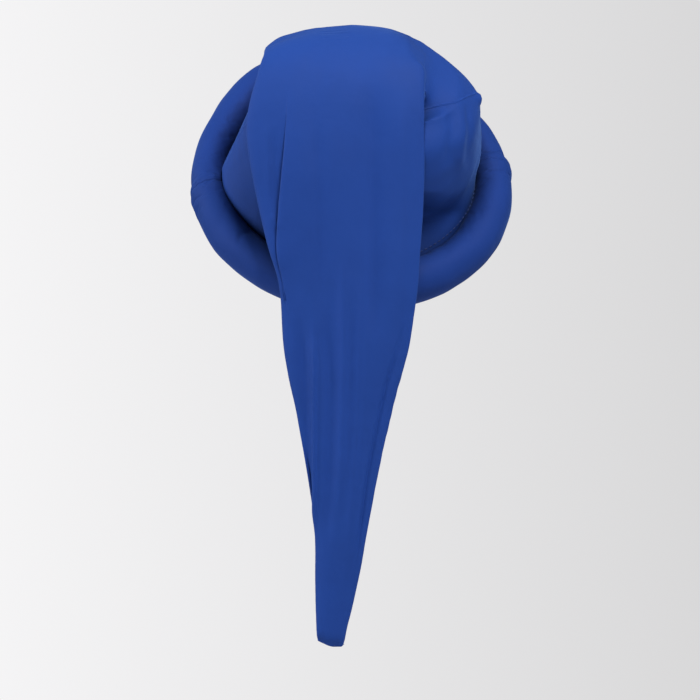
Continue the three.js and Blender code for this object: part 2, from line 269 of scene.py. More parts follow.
# Small swellings and dents of the cloth: place, radius and height, in millimetres
SWELLINGS = (
    ((-112, 52, 71), 6, 3.8),
    ((-114, 48, 61), 4, -2.0),
)

# Stitches of the seam between crown and roll: the grid's row, the gap and the thread's radius
STITCH_ROW = 4
STITCH_GAP = 1.8
STITCH_RADIUS = 0.4
STITCH_SIDES = 8
STITCH_RINGS = 7

# Painted shade in deep folds, where the cloth's colour and sheen are darkened: the openness at which
# the shade is darkest and at which the cloth has its full colour, how far away another surface
# counts, and the share of the colour that is left
FOLD_SHADE_OPENNESS = (0.15, 0.80)
FOLD_SHADE_REACH = 0.07
FOLD_SHADE_LEFT = 0.25
FOLD_SHADE_SAMPLES = 12

# How far the cloth's roughness goes up and down from place to place
ROUGHNESS_CHANGE = 0.06

# Lamps: the name, place, size and power of each, and the place that all of them face
LAMPS = (
    ("overhead", (-0.7, 1.5, 1.8), 1.0, 56),
    ("left_rim", (2.0, 0.4, 0.8), 0.8, 30),
    ("right_rim", (-1.9, 0.5, 0.7), 0.8, 3),
)
LAMP_AIM = (0, 0.08, -0.1)


# What all the colour properties share
COLOUR = {"subtype": "COLOR", "size": 4, "min": 0, "max": 1}


class HatSizes(bpy.types.PropertyGroup):
    """Sizes of the hat's cloth and roll"""

    cloth_thickness: bpy.props.FloatProperty(
        name="Cloth thickness",
        description="Thickness of the crown's and the tail's cloth",
        default=1.2 * MM,
        min=0.2 * MM,
        unit="LENGTH",
    )
    roll_radius: bpy.props.FloatProperty(
        name="Roll ring radius",
        description="From the middle of the head opening to the middle of the roll",
        default=124.5 * MM,
        unit="LENGTH",
    )
    roll_tube: bpy.props.FloatProperty(
        name="Roll thickness radius",
        description="Radius of the stuffed roll's own section",
        default=23 * MM,
        unit="LENGTH",
    )
    roll_tilt: bpy.props.FloatProperty(
        name="Roll tilt",
        description="How far the roll's ring tilts from the nape up to the forehead",
        default=math.radians(50),
        unit="ROTATION",
    )
    roll_lean: bpy.props.FloatProperty(
        name="Roll lean",
        description="How far the roll leans to the wearer's left",
        default=math.radians(5.8),
        unit="ROTATION",
    )
    thread_pitch: bpy.props.FloatProperty(
        name="Thread pitch",
        description="Distance between two threads of the weave",
        default=0.55 * MM,
        unit="LENGTH",
    )
    stitch_length: bpy.props.FloatProperty(
        name="Stitch length",
        description="Length of one stitch of the seam between crown and roll",
        default=3.4 * MM,
        unit="LENGTH",
    )


class HatColours(bpy.types.PropertyGroup):
    """Colours of the hat's cloth and thread"""

    crown: bpy.props.FloatVectorProperty(
        name="Crown cloth",
        description="Colour of the crown's and the tail's cloth",
        default=(0.0120, 0.0560, 0.3000, 1),
        **COLOUR,
    )
    # Painted shade: the roll's cloth is the crown's cloth made darker, to stand in for less light on
    # the roll
    roll: bpy.props.FloatVectorProperty(
        name="Roll cloth",
        description="Colour of the stuffed roll's cloth",
        default=(0.0092, 0.0430, 0.2420, 1),
        **COLOUR,
    )
    # Painted shade: the thread is darker than the cloth to stand in for the shade of the groove where
    # it is sewn
    thread: bpy.props.FloatVectorProperty(
        name="Thread",
        description="Colour of the sewing thread",
        default=(0.0120, 0.0360, 0.1700, 1),
        **COLOUR,
    )
    floor: bpy.props.FloatVectorProperty(
        name="Floor",
        description="Colour of the pale floor",
        default=(0.80, 0.80, 0.82, 1),
        **COLOUR,
    )


def smooth_step(value, low, high):
    """0 below low, 1 above high and smooth between them"""
    share = np.clip((value - low) / (high - low), 0, 1)
    return share * share * (3 - 2 * share)


def smooth_band(value, starts, full, ends, gone):
    """0 before it starts and after it is gone, 1 from full to where it ends, smooth between them"""
    return smooth_step(value, starts, full) * (1 - smooth_step(value, ends, gone))


def soft_lumps(points, wavelength, seed):
    """A gentle unevenness from -1 to 1 at an array of places, from seeded waves in all directions"""
    draw = np.random.default_rng(seed)
    total = np.zeros(points.shape[:-1])
    waves = 18
    for _ in range(waves):
        direction = draw.normal(size=3)
        direction /= np.linalg.norm(direction)
        length = wavelength * draw.uniform(0.7, 1.6)
        phase = draw.uniform(0, 2 * math.pi)
        total += np.sin(points @ direction * (2 * math.pi / length) + phase)
    return total / math.sqrt(waves)


def roll_bulge(turn):
    """How far the roll swells out of its circle at a turn round the opening, in degrees"""
    return ROLL_BULGE * np.exp(-(((turn - ROLL_BULGE_AT) / ROLL_BULGE_SPREAD) ** 2))


def roll_swell(turn):
    """How much thicker or thinner the stuffing makes the roll at a turn, in millimetres"""
    return sum(rise * np.exp(-(((turn - at) / spread) ** 2)) for at, spread, rise in ROLL_SWELLS)


def roll_flat(side):
    """Share of the roll's thickness that is left at an angle round its section, 0 on the inside"""
    return 1 - ROLL_FLAT * ((1 + np.cos(side)) / 2) ** 2


def lean_over(points, lean):
    """Points turned about the way the wearer faces, by an angle in radians for each of them"""
    cos, sin = np.cos(lean), np.sin(lean)
    across = points[..., 0] * cos - points[..., 2] * sin
    up = points[..., 0] * sin + points[..., 2] * cos
    return np.stack([across, points[..., 1], up], axis=-1)


def ring_place(sizes, turn, radius, height):
    """Places on the tilted and leaning ring, from turns in degrees, radii and heights along its axis"""
    tilt = sizes.roll_tilt
    angle = np.radians(turn)
    rise = radius * np.sin(angle)
    across = -radius * np.cos(angle) * np.ones_like(height)
    back = -rise * math.cos(tilt) + height * math.sin(tilt)
    up = rise * math.sin(tilt) + height * math.cos(tilt)
    return lean_over(np.stack([across, back, up], axis=-1), sizes.roll_lean)


def seat_section(sizes):
    """The first section, where the cone's rim is sewn to the roll"""
    reach = sizes.roll_tube / MM * roll_flat(SEAT_TURN) - SEAT_SINK
    radius = sizes.roll_radius / MM - reach * math.cos(SEAT_TURN)
    height = reach * math.sin(SEAT_TURN)
    axis = (math.sin(sizes.roll_tilt), math.cos(sizes.roll_tilt))
    rise = (-axis[1], axis[0])
    outer = [height * axis[k] + radius * rise[k] for k in range(2)]
    inner = [height * axis[k] - radius * rise[k] for k in range(2)]
    lean = math.degrees(sizes.roll_lean)
    return (*outer, *inner, radius, radius, *SEAT_VALUES, lean)


def sections_at(table, rows):
    """The table as one smooth function of the row number: a column of values for each name"""
    slopes = np.gradient(table, axis=0)
    first = np.clip(np.floor(rows).astype(int), 0, len(table) - 2)
    t = (rows - first)[:, None]
    values = (
        (2 * t**3 - 3 * t**2 + 1) * table[first]
        + (t**3 - 2 * t**2 + t) * slopes[first]
        + (3 * t**2 - 2 * t**3) * table[first + 1]
        + (t**3 - t**2) * slopes[first + 1]
    )
    return {name: values[:, k : k + 1] for k, name in enumerate(COLUMNS)}


def row_numbers(table, count):
    """Row numbers that put the grid's rows at even distances along the cone"""
    fine = np.linspace(0, len(table) - 1, FINE_ROWS)
    cut = sections_at(table, fine)
    outer = np.hstack([cut["outer_back"], cut["outer_up"]])
    inner = np.hstack([cut["inner_back"], cut["inner_up"]])
    steps = np.maximum(
        np.linalg.norm(np.diff(outer, axis=0), axis=1),
        np.linalg.norm(np.diff(inner, axis=0), axis=1),
    )
    run = np.concatenate([[0], np.cumsum(steps)])
    return np.interp(np.linspace(0, run[-1], count), run, fine)


def section_points(cut, angle, lap):
    """Places on the sections' loops. lap is 1 on the panel that laps, -1 under it, 0 on the back."""
    cos, sin = np.cos(angle), np.sin(angle)
    right_square = np.where(sin > 0, cut["square_right"], cut["square_under"])
    power = 2 / np.where(cos > 0, right_square, cut["square_left"])
    half = (cut["left"] + cut["right"]) / 2
    middle = (cut["left"] - cut["right"]) / 2
    swell = 1 + cut["rim"] * roll_bulge(np.degrees(angle)) / half
    sideways = np.sign(cos) * np.abs(cos) ** power * swell
    depthwise = np.sign(sin) * np.abs(sin) ** power * swell
    depth = np.hypot(cut["outer_back"] - cut["inner_back"], cut["outer_up"] - cut["inner_up"])
    back = (cut["outer_back"] - cut["inner_back"]) / depth
    up = (cut["outer_up"] - cut["inner_up"]) / depth
    drop = np.where(cos > 0, cut["drop_right"], cut["drop_left"])
    across = middle - half * sideways
    out = depth / 2 * depthwise - drop * sideways**2 * (1 + sin) / 2
    if lap != 0:
        away = np.abs(across - cut["crease"])
        lift = LIFT_SHARE * np.exp(-((away / LIFT_REACH) ** 2))
        width = np.maximum(cut["left"] - cut["crease"], 1)
        sink = (1 - LIFT_SHARE) * np.maximum(1 - away / width, 0) ** 2
        out = out + np.where(sin > 0, cut["step"] * (lift if lap > 0 else -sink), 0)
        across = across + lap * LAP_SHARE * cut["step"] * np.exp(-((away / LAP_REACH) ** 2))
    places = np.stack(
        [
            across,
            (cut["outer_back"] + cut["inner_back"]) / 2 + out * back,
            (cut["outer_up"] + cut["inner_up"]) / 2 + out * up,
        ],
        axis=-1,
    )
    return lean_over(places, np.radians(cut["lean"]))


def crease_angle(cut, further):
    """Angle at which each section crosses the lapped crease, or a place to the left of it"""
    half = (cut["left"] + cut["right"]) / 2
    offset = (cut["crease"] + further - (cut["left"] - cut["right"]) / 2) / half
    square = np.where(offset > 0, cut["square_left"], cut["square_right"])
    return np.arccos(np.clip(-np.sign(offset) * np.abs(offset) ** (square / 2), -1, 1))


def flap_edge_at(up):
    """How far across the flap's right edge is at a height"""
    (low, across_low), (high, across_high) = FLAP_EDGE
    return across_low + (across_high - across_low) * (up - low) / (high - low)


def closeness(away):
    """How much closer the columns stand at a distance from a seam or an edge"""
    return CLOSER_TIMES * np.exp(-((away / CLOSER_SPREAD) ** 2))


def lengths_along(points):
    """Distance along each line of points from its first one"""
    steps = np.linalg.norm(np.diff(points, axis=-2), axis=-1)
    return np.concatenate([np.zeros_like(steps[..., :1]), np.cumsum(steps, axis=-1)], axis=-1)


def stretch(cut, start, end, columns, lap):
    """One stretch of each section's loop, with closer points at its seams and the flap's edge"""
    angles = start + (end - start) * np.linspace(0, 1, FINE_STEPS)
    points = section_points(cut, angles, lap)
    run = lengths_along(points)
    weight = np.ones_like(run)
    if lap >= 0:
        weight += closeness(run)
    if lap <= 0:
        weight += closeness(run[:, -1:] - run)
    if lap > 0:
        weight += closeness(points[..., 0] - flap_edge_at(points[..., 2]))
    weighted = np.diff(run, axis=1) * (weight[:, 1:] + weight[:, :-1]) / 2
    counted = np.concatenate([np.zeros((len(run), 1)), np.cumsum(weighted, axis=1)], axis=1)
    share = np.linspace(0, 1, columns)
    even = [np.interp(share * c[-1], c, a) for c, a in zip(counted, angles)]
    return section_points(cut, np.array(even), lap)


def turned_edge(lapping, under, cut):
    """The rounded fold between the lapping panel's edge and the cloth that it lies on"""
    way = lapping[:, -1] - lapping[:, -4]
    way /= np.linalg.norm(way, axis=1)[:, None]
    leave = way * (LAP_TURN + LAP_ROUND * cut["step"])
    arrive = way * (2 * LAP_ROUND * cut["step"] - LAP_TURN)
    share = np.linspace(0, 1, COLUMNS_TURN + 2)[1:-1][:, None, None]
    start, end = lapping[:, -1], under[:, 0]
    curve = (
        (1 - share) ** 3 * start
        + 3 * share * (1 - share) ** 2 * (start + leave)
        + 3 * share**2 * (1 - share) * (end + arrive)
        + share**3 * end
    )
    return np.moveaxis(curve, 0, 1)


def grid_normals(grid):
    """Outward directions of a grid that closes round the cone"""
    around = np.roll(grid, -1, axis=1) - np.roll(grid, 1, axis=1)
    along = np.gradient(grid, axis=0)
    normals = np.cross(around, along)
    return normals / np.maximum(np.linalg.norm(normals, axis=2, keepdims=True), 1e-9)


def path_distance(across, up, path):
    """Distance of each place to a path, and its share of the way along it"""
    nearest = np.full(across.shape, np.inf)
    share = np.zeros(across.shape)
    lengths = [math.dist(a, b) for a, b in zip(path, path[1:])]
    done = 0
    for (x0, z0), (x1, z1), length in zip(path, path[1:], lengths):
        along = ((across - x0) * (x1 - x0) + (up - z0) * (z1 - z0)) / length**2
        held = np.clip(along, 0, 1)
        away = np.hypot(across - x0 - held * (x1 - x0), up - z0 - held * (z1 - z0))
        nearer = away < nearest
        nearest = np.where(nearer, away, nearest)
        share = np.where(nearer, (done + held * length) / sum(lengths), share)
        done += length
    return nearest, share


def fold_relief(grid, normals, panel):
    """Height of the soft folds over one panel's part of the grid, where it faces back"""
    height = np.zeros(grid.shape[:2])
    facing = smooth_step(normals[..., 1], *FACING)
    for owner, width, rise, path in FOLDS:
        if owner != panel:
            continue
        away, share = path_distance(grid[..., 0], grid[..., 2], path)
        fade = smooth_band(share, 0, FOLD_FADE, 1 - FOLD_FADE, 1)
        height += rise * fade * np.exp(-((away / width) ** 2)) * facing
    return height


def raise_shoulder(grid, rows):
    """The grid with the crown's right shoulder brought out to the flap's edge"""
    across, back, up = np.moveaxis(grid, -1, 0)
    rise = SHOULDER_RISE * smooth_band(up, *SHOULDER_HEIGHTS)
    rise *= 1 - smooth_step(across, *SHOULDER_ACROSS)
    rise *= np.exp(-((np.maximum(SHOULDER_ACROSS[0] - across, 0) / SHOULDER_FADE) ** 2))
    rise *= smooth_step(back, *SHOULDER_BACK) * (1 - smooth_step(rows, *SHOULDER_ROWS))[:, None]
    return np.stack([across, back + rise, up], axis=-1)


def relax_shoulder(grid, rows):
    """The grid with the gathered cloth beside the flap's edge evened out"""
    share = smooth_band(rows, *RELAX_ROWS)[:, None] * smooth_band(grid[..., 0], *RELAX_ACROSS)
    share *= smooth_step(grid[..., 2], *RELAX_UP)
    for _ in range(RELAX_TURNS):
        around = np.roll(grid, 1, axis=1) + np.roll(grid, -1, axis=1)
        along = np.concatenate([grid[:1], grid[:-1]]) + np.concatenate([grid[1:], grid[-1:]])
        grid = grid + RELAX_SHARE * share[..., None] * ((around + along) / 4 - grid)
    return grid


def straighten_shoulder(grid):
    """The grid with the right shoulder's top cut down to a straight slope"""
    across, back, up = np.moveaxis(grid, -1, 0)
    length = math.hypot(1, SHOULDER_SLOPE)
    over = (up - SHOULDER_SLOPE * across - SHOULDER_TOP) / length
    over = SHOULDER_SOFTNESS * np.logaddexp(0, over / SHOULDER_SOFTNESS)
    over *= 1 - smooth_step(across, *SHOULDER_STARTS)
    return np.stack([across + over * SHOULDER_SLOPE / length, back, up - over / length], axis=-1)


def slope_tip(grid):
    """The grid with the tip's corners a little higher than the rest of its end"""
    across, back, up = np.moveaxis(grid, -1, 0)
    rise = sum(rise * smooth_step(across, start, full) for rise, start, full in TIP_CORNERS)
    return np.stack([across, back, up + rise * (1 - smooth_step(up, *TIP_UP))], axis=-1)


def tuck_left(grid, rows):
    """The grid with the crown's left side drawn in to a straight edge under the flap"""
    across, back, up = np.moveaxis(grid, -1, 0)
    limit = LEFT_CORNER[0] - LEFT_SLOPE * np.maximum(up - LEFT_CORNER[1], 0)
    over = LEFT_SOFTNESS * np.logaddexp(0, (across - limit) / LEFT_SOFTNESS)
    share = smooth_band(rows, *LEFT_ROWS)[:, None]
    return np.stack([across - over * share, back, up], axis=-1)


def flap_relief(grid, normals):
    """The raised lip of the flap's right edge, near the top"""
    away = grid[..., 0] - flap_edge_at(grid[..., 2])
    lip = FLAP_LIP * np.exp(-np.abs(away) / FLAP_LIP_REACH)
    on_flap = smooth_step(away, -FLAP_TURN, FLAP_TURN)
    facing = smooth_step(normals[..., 1] + normals[..., 2], *FACING)
    near_top = smooth_band(grid[..., 2], *FLAP_LIP_HEIGHTS)
    return lip * on_flap * facing * near_top


def seam_relief(panel, rows):
    """Ridge or groove and puckers along both sewn edges of a panel, with smaller puckers on the tail"""
    height = np.zeros(panel.shape[:2])
    run = lengths_along(panel)
    on_crown = 1 - smooth_step(rows, *RIDGE_ROWS)[:, None]
    gathered = 1 - smooth_step(rows, *GATHER_ROWS)[:, None]
    on_tail = smooth_step(rows, *TAIL_ROWS)[:, None]
    strength = PUCKER_HEIGHT * (gathered + PUCKER_TAIL * on_tail)
    for edge, away in ((0, run), (-1, run[:, -1:] - run)):
        along = lengths_along(panel[:, edge])[:, None]
        lip = np.exp(-(((away - SEAM_LIP_AT) / SEAM_LIP_WIDTH) ** 2))
        line = np.exp(-((away / SEAM_WIDTH) ** 2))
        height += SEAM_DEPTH * on_tail * (SEAM_LIP_SHARE * lip - line) + SEAM_RIDGE * on_crown * line
        drift = PUCKER_DRIFT * np.sin(along / PUCKER_DRIFT_REACH)
        wave = np.sin(2 * math.pi * along / PUCKER_PITCH + drift)
        height += strength * wave * np.exp(-away / PUCKER_REACH) * (1 - np.exp(-(away**2)))
    return height


def swelling_relief(grid):
    """Small swellings and dents round their places"""
    height = np.zeros(grid.shape[:2])
    for place, radius, rise in SWELLINGS:
        away = np.linalg.norm(grid - np.array(place), axis=-1)
        height += rise * np.exp(-((away / radius) ** 2))
    return height


def cone_grid(sizes):
    """The whole cone as a grid, the front panel's columns first, and its outward directions"""
    table = np.array((seat_section(sizes), *SECTIONS), dtype=float)
    rows = row_numbers(table, CONE_ROWS)
    cut = sections_at(table, rows)
    seam_right = np.radians(cut["seam_right"])
    seam_left = np.radians(cut["seam_left"])
    lapping = stretch(cut, seam_right, crease_angle(cut, -LAP_TURN), COLUMNS_LAPPING, 1)
    under = stretch(cut, crease_angle(cut, LAP_TURN), seam_left, COLUMNS_UNDER, -1)
    back = stretch(cut, seam_left, seam_right + 2 * math.pi, COLUMNS_BACK, 0)
    front = np.concatenate([lapping, turned_edge(lapping, under, cut), under], axis=1)
    columns_front = front.shape[1]
    grid = np.concatenate([front, back[:, 1:-1]], axis=1)
    grid = relax_shoulder(raise_shoulder(tuck_left(grid, rows), rows), rows)
    grid = slope_tip(straighten_shoulder(grid))
    normals = grid_normals(grid)
    height = swelling_relief(grid) + flap_relief(grid, normals)
    around = np.concatenate([np.arange(grid.shape[1]), [0]])
    front, back = around[:columns_front], around[columns_front - 1 :]
    height[:, front] += fold_relief(grid[:, front], normals[:, front], "front")
    height[:, back[1:-1]] += fold_relief(grid[:, back[1:-1]], normals[:, back[1:-1]], "back")
    height[:, front] += seam_relief(grid[:, front], rows)
    height[:, back[1:-1]] += seam_relief(grid[:, back], rows)[:, 1:-1]
    hanging = grid * LUMP_STRETCH
    height += sum(rise * soft_lumps(hanging, wavelength, seed) for rise, wavelength, seed in CONE_LUMPS)
    height *= smooth_step(np.arange(CONE_ROWS), 0, RIM_ROWS)[:, None]
    grid = grid + normals * height[..., None]
    return grid, grid_normals(grid), columns_front


def make_object(name, places, quads, uvs=None):
    """A smooth mesh object from places in millimetres and its quads"""
    mesh = bpy.data.meshes.new(name)
    mesh.from_pydata((places * MM).tolist(), [], quads.tolist())
    mesh.validate()
    mesh.update()
    mesh.shade_smooth()
    if uvs is not None:
        layer = mesh.uv_layers.new(name="cloth")
        corners = np.empty(len(mesh.loops), dtype=np.int32)
        mesh.loops.foreach_get("vertex_index", corners)
        layer.data.foreach_set("uv", (uvs[corners] * MM).ravel())
    piece = bpy.data.objects.new(name, mesh)
    bpy.context.collection.objects.link(piece)
    return piece


def sheet_object(name, outer, inner):
    """A closed cloth panel between its outer and inner grids"""
    rows, columns = outer.shape[:2]
    index = np.arange(rows * columns).reshape(rows, columns)
    under = index + rows * columns

    def faces(a, b, c, d):
        return np.stack([a, b, c, d], axis=-1).reshape(-1, 4)

    quads = np.concatenate(
        [
            faces(index[:-1, :-1], index[:-1, 1:], index[1:, 1:], index[1:, :-1]),
            faces(under[:-1, :-1], under[1:, :-1], under[1:, 1:], under[:-1, 1:]),
            faces(index[:-1, 0], index[1:, 0], under[1:, 0], under[:-1, 0]),
            faces(index[:-1, -1], under[:-1, -1], under[1:, -1], index[1:, -1]),
            faces(index[0, :-1], under[0, :-1], under[0, 1:], index[0, 1:]),
            faces(index[-1, :-1], index[-1, 1:], under[-1, 1:], under[-1, :-1]),
        ]
    )
    u = lengths_along(outer)
    u -= u[:, columns // 2 : columns // 2 + 1]
    v = lengths_along(outer[:, columns // 2])[:, None] * np.ones((1, columns))
    flat = np.stack([u, v], axis=-1).reshape(-1, 2)
    places = np.concatenate([outer.reshape(-1, 3), inner.reshape(-1, 3)])
    piece = make_object(name, places, quads, np.concatenate([flat, flat]))
    piece.data.set_sharp_from_angle(angle=SHARP_ANGLE)
    return piece


def join_relief(away, side, join):
    """How a sewn join shapes the roll's end beside it: a groove, a swelling and small puckers"""
    groove, swelling = join
    wave = np.cos(JOIN_PUCKERS * side + JOIN_DRIFT * np.sin(JOIN_DRIFTS * side))
    puckers = JOIN_PUCKER * groove * np.exp(-away / JOIN_PUCKER_REACH) * wave
    bulge = swelling * np.exp(-(((away - JOIN_SWELL_AT) / JOIN_SWELL_SPREAD) ** 2))
    return puckers - groove * np.exp(-away / GROOVE_REACH) + bulge


def roll_places(sizes, start, end, joins):
    """A length of the stuffed roll as a grid of places, rows along it and columns round it"""
    even = np.linspace(0, 1, ROLL_ROWS)[:, None]
    share = even - ROLL_CLOSER * np.sin(2 * math.pi * even) / (2 * math.pi)
    turn = start + (end - start) * share
    side = np.linspace(0, 2 * math.pi, ROLL_SIDES, endpoint=False)[None, :]
    ring = sizes.roll_radius / MM + roll_bulge(turn)
    length = np.radians(end - start) * sizes.roll_radius / MM
    tube = (sizes.roll_tube / MM + roll_swell(turn)) * roll_flat(side)
    tube = tube + join_relief(share * length, side, joins[0])
    tube = tube + join_relief((1 - share) * length, side, joins[1])
    rough = ring_place(sizes, turn, ring - tube * np.cos(side), tube * np.sin(side))
    lumps = sum(rise * soft_lumps(rough, wavelength, seed) for rise, wavelength, seed in ROLL_LUMPS)
    near = np.minimum(share, 1 - share) * length
    tube = tube + (lumps - ROLL_SLIMMER) * smooth_step(near, 0, LUMPS_FROM_JOIN)
    return ring_place(sizes, turn, ring - tube * np.cos(side), tube * np.sin(side)), turn, side


def tube_quads(index):
    """Quads between the rings of a tube, from the numbers of its places"""
    after = np.roll(index, -1, axis=1)
    return np.stack([index[:-1], after[:-1], after[1:], index[1:]], axis=-1).reshape(-1, 4)


def roll_object(name, sizes, start, end, joins):
    """One length of the roll with its two ends closed"""
    places, turn, side = roll_places(sizes, start, end, joins)
    rows, columns = places.shape[:2]
    index = np.arange(rows * columns).reshape(rows, columns)
    quads = [tube_quads(index)]
    extra = []
    count = rows * columns
    for row, flip in ((0, True), (rows - 1, False)):
        middle = places[row].mean(axis=0)
        edge = index[row]
        for shrink in CAP_RINGS:
            ring = middle + (places[row] - middle) * shrink
            extra.append(ring)
            new = np.arange(count, count + columns)
            count += columns
            cap = np.stack([edge, np.roll(edge, -1), np.roll(new, -1), new], axis=-1)
            quads.append(cap[:, ::-1] if flip else cap)
            edge = new
    u = np.radians(turn) * sizes.roll_radius / MM * np.ones_like(side)
    v = side * (sizes.roll_tube / MM) * np.ones_like(turn)
    flat = np.stack([u, v], axis=-1).reshape(-1, 2)
    flat = np.concatenate([flat, np.zeros((count - len(flat), 2))])
    places = np.concatenate([places.reshape(-1, 3), *extra])
    return make_object(name, places, np.concatenate(quads), flat)


def held_shares(count):
    """How firmly each place of a roll length is held: at its joins, its ends and the crown's seam"""
    row = np.arange(ROLL_ROWS)[:, None]
    angle = np.linspace(0, 2 * math.pi, ROLL_SIDES, endpoint=False)[None, :]
    joins = 1 - smooth_step(np.minimum(row, ROLL_ROWS - 1 - row), *HELD_ROWS)
    seam = 1 - smooth_step(np.minimum(angle, 2 * math.pi - angle), *HELD_ANGLES)
    shares = np.ones(count)
    shares[: ROLL_ROWS * ROLL_SIDES] = np.maximum(joins, seam).reshape(-1)
    return shares


def stuff_roll(piece):
    """Fill a length of the roll: cloth under pressure, simulated and then applied to the mesh"""
    count = len(piece.data.vertices)
    held = piece.vertex_groups.new(name="held")
    for index, share in enumerate(held_shares(count)):
        held.add([index], share, "REPLACE")
    cloth = piece.modifiers.new("stuffing", "CLOTH")
    cloth.collision_settings.use_collision = False
    cloth.point_cache.frame_end = STUFF_STEPS
    for name, value in STUFF_CLOTH.items():
        setattr(cloth.settings, name, value)
    cloth.settings.vertex_group_mass = held.name
    cloth.settings.effector_weights.gravity = 0
    scene = bpy.context.scene
    for step in range(1, STUFF_STEPS + 1):
        scene.frame_set(step)
    stuffed = piece.evaluated_get(bpy.context.evaluated_depsgraph_get()).data
    before, after = np.empty(count * 3), np.empty(count * 3)
    piece.data.vertices.foreach_get("co", before)
    stuffed.vertices.foreach_get("co", after)
    piece.modifiers.remove(cloth)
    piece.vertex_groups.remove(held)
    scene.frame_set(1)
    move = (after - before).reshape(-1, 3)
    far = np.linalg.norm(move, axis=1, keepdims=True) / (STUFF_REACH * MM)
    move *= np.tanh(far) / np.maximum(far, 1e-9)
    piece.data.vertices.foreach_set("co", before + move.reshape(-1))
    piece.data.update()


def stitch_row(path, normals, length, gap, radius):
    """Places and quads of stitches along a closed path: small rounded bars that lie on the cloth"""
    steps = np.linalg.norm(np.roll(path, -1, axis=0) - path, axis=1)
    run = np.concatenate([[0], np.cumsum(steps)])
    closed = np.concatenate([path, path[:1]])
    directions = np.concatenate([normals, normals[:1]])
    count = int(run[-1] // (length + gap))
    sides, rings = STITCH_SIDES, STITCH_RINGS
    turn = 2 * math.pi * np.arange(sides) / sides
    places, quads = [], []
    for k in range(count):
        middle = (k + 0.5) * run[-1] / count
        along = middle + np.linspace(-0.5, 0.5, rings) * length
        centre = np.stack([np.interp(along, run, closed[:, c]) for c in range(3)], axis=-1)
        normal = np.array([np.interp(middle, run, directions[:, c]) for c in range(3)])
        normal /= np.linalg.norm(normal)
        way = centre[-1] - centre[0]
        way /= np.linalg.norm(way)
        sideways = np.cross(way, normal)
        swell = np.sqrt(np.maximum(1 - np.linspace(-0.98, 0.98, rings) ** 4, 0))
        arch = (swell * 0.9 - 0.4) * radius
        offset = np.outer(np.cos(turn), sideways) + np.outer(np.sin(turn), normal)
        spine = centre + arch[:, None] * normal
        bar = spine[:, None] + offset * (radius * swell)[:, None, None]
        places.append(bar.reshape(-1, 3))
        quads.append(tube_quads(np.arange(rings * sides).reshape(rings, sides) + k * rings * sides))
    return np.concatenate(places), np.concatenate(quads)


def new_group(name, inputs, outputs):
    """An empty shader node group with its sockets, and its input and output nodes"""
    group = bpy.data.node_groups.new(name, "ShaderNodeTree")
    for label, kind, default in inputs:
        socket = group.interface.new_socket(label, in_out="INPUT", socket_type=kind)
        socket.default_value = default
    for label, kind in outputs:
        group.interface.new_socket(label, in_out="OUTPUT", socket_type=kind)
    return group, group.nodes.new("NodeGroupInput"), group.nodes.new("NodeGroupOutput")


def add_node(tree, kind, inputs=None, **settings):
    """A node with its settings, and its inputs set to values or linked from other sockets"""
    node = tree.nodes.new(kind)
    for name, value in settings.items():
        setattr(node, name, value)
    for name, value in (inputs or {}).items():
        if isinstance(value, bpy.types.NodeSocket):
            tree.links.new(value, node.inputs[name])
        else:
            node.inputs[name].default_value = value
    return node


def math_node(tree, operation, first, second):
    """The result of an operation on two values or sockets"""
    return add_node(tree, "ShaderNodeMath", {0: first, 1: second}, operation=operation).outputs[0]


def map_range(tree, value, start, end):
    """A value mapped from one range, as its two ends, to another"""
    ends = {"From Min": start[0], "From Max": start[1], "To Min": end[0], "To Max": end[1]}
    return add_node(tree, "ShaderNodeMapRange", {"Value": value, **ends}).outputs["Result"]


def new_material(name):
    """A material, its node tree and its shader"""
    material = bpy.data.materials.new(name)
    material.use_nodes = True
    return material, material.node_tree, material.node_tree.nodes["Principled BSDF"]


def weave_group():
    """Threads of a plain weave over the cloth's own flat coordinates, with their unevenness"""
    group, inside, outside = new_group(
        "Plain weave",
        (("Pitch", "NodeSocketFloat", 0.001), ("Slub", "NodeSocketFloat", 0.3)),
        (("Height", "NodeSocketFloat"), ("Thread", "NodeSocketFloat")),
    )
    flat = add_node(group, "ShaderNodeUVMap", uv_map="cloth").outputs["UV"]
    wobble = add_node(group, "ShaderNodeTexNoise", {"Vector": flat, "Scale": 220.0, "Detail": 2.0})
    split = add_node(group, "ShaderNodeSeparateXYZ", {"Vector": flat})
    waves = []
    for axis in ("X", "Y"):
        count = math_node(group, "DIVIDE", split.outputs[axis], inside.outputs["Pitch"])
        shift = math_node(group, "MULTIPLY", wobble.outputs["Fac"], inside.outputs["Slub"])
        turn = math_node(group, "MULTIPLY", math_node(group, "ADD", count, shift), math.pi)
        waves.append(math_node(group, "SINE", turn, 0.0))
    crossing = math_node(group, "MULTIPLY", waves[0], waves[1])
    height = map_range(group, crossing, (-1.0, 1.0), (0.0, 1.0))
    group.links.new(height, outside.inputs["Height"])
    group.links.new(wobble.outputs["Fac"], outside.inputs["Thread"])
    return group


